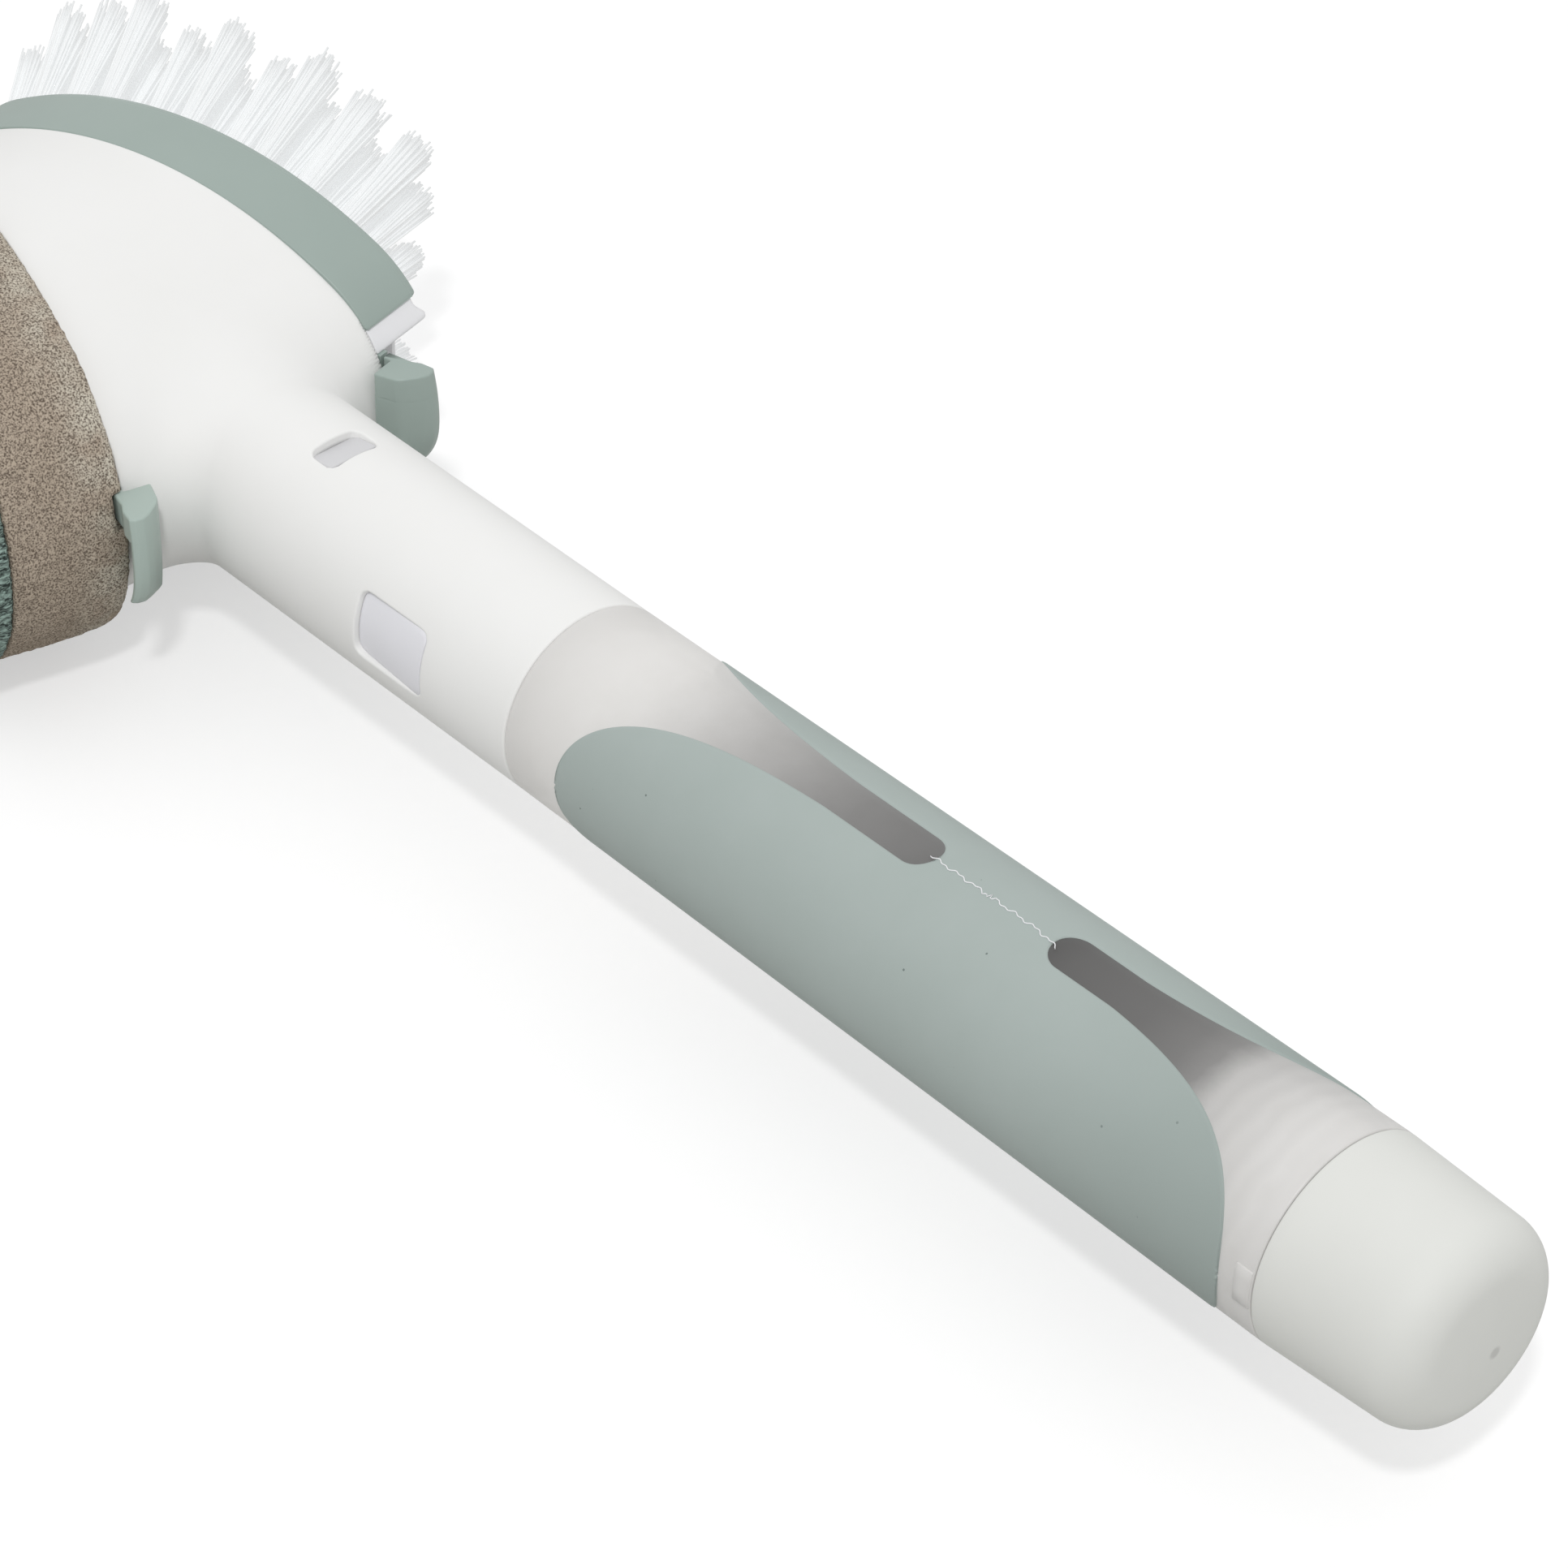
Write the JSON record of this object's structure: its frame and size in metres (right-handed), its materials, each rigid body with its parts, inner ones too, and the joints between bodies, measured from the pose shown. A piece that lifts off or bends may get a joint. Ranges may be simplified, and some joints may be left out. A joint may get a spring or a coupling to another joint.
{
  "type": "soap-dispensing scrubbing brush",
  "caption": "Scrubbing brush with a soap reservoir as its handle and a wedge head that has bristles on one side and a sponge on the other.",
  "frame": {"origin": "on the handle's axis, in the middle of the plain neck ring between the front windows and the reservoir", "axes": "+X along the handle towards the cap, +Y towards the bristles, +Z across both, upwards as it lies on its side"},
  "size_m": [0.3195, 0.0988, 0.056],
  "materials": {
    "hub": "satin, moulded",
    "valve": "silicone",
    "duct": "moulded",
    "seal": "smooth",
    "reservoir": "translucent, fine frosting",
    "grip": "matt silicone",
    "cap": "matt",
    "sage": "satin, moulded",
    "block": "smooth",
    "bristle": "clear nylon",
    "foam": "open-cell foam",
    "scour": "scouring fleece"
  },
  "bodies": {
    "handle": {"hub_body": "hub", "brush_deck": "hub", "sponge_deck": "hub", "manifold": "duct", "brush_valve": "valve", "sponge_valve": "valve", "brush_valve_ring": "duct", "sponge_valve_ring": "duct", "neck_seal": "seal", "reservoir": "reservoir", "grip_sleeve": "grip"},
    "cap_washer": {"cap_seal": "valve"},
    "cap": {"end_cap": "cap"},
    "brush_head": {"brush_plate": "sage", "bristle_block": "block", "bristle_tufts": "bristle"},
    "brush_release": {"brush_tab": "sage"},
    "sponge_head": {"sponge_plate": "sage", "sponge_foam": "foam", "scour_pad": "scour"},
    "sponge_release": {"sponge_tab": "sage"}
  },
  "joints": [
    {"name": "cap_travel", "type": "slide", "parent": "handle", "child": "cap_washer", "axis": [1, 0, 0], "range_m": [0, 0.0211]},
    {"name": "cap_turn", "type": "hinge", "parent": "cap_washer", "child": "cap", "pos_m": [0.1412, 0, 0], "axis": [1, 0, 0], "range_deg": [0, 2520]},
    {"name": "brush_pull", "type": "slide", "parent": "handle", "child": "brush_head", "axis": [-0.2334, 0.9724, 0], "range_m": [0, 0.03]},
    {"name": "brush_tab_bend", "type": "hinge", "parent": "brush_head", "child": "brush_release", "pos_m": [-0.06109, 0.02311, 0], "axis": [0, 0, 1], "range_deg": [0, 8], "stiffness_Nm_per_rad": 0.02},
    {"name": "sponge_pull", "type": "slide", "parent": "handle", "child": "sponge_head", "axis": [-0.2334, -0.9724, 0], "range_m": [0, 0.03]},
    {"name": "sponge_tab_bend", "type": "hinge", "parent": "sponge_head", "child": "sponge_release", "pos_m": [-0.06109, -0.02311, 0], "axis": [0, 0, -1], "range_deg": [0, 8], "stiffness_Nm_per_rad": 0.02}
  ],
  "couplings": [
    {"joint": "cap_travel", "follows": "cap_turn", "m_per_rad": 0.00047746}
  ]
}
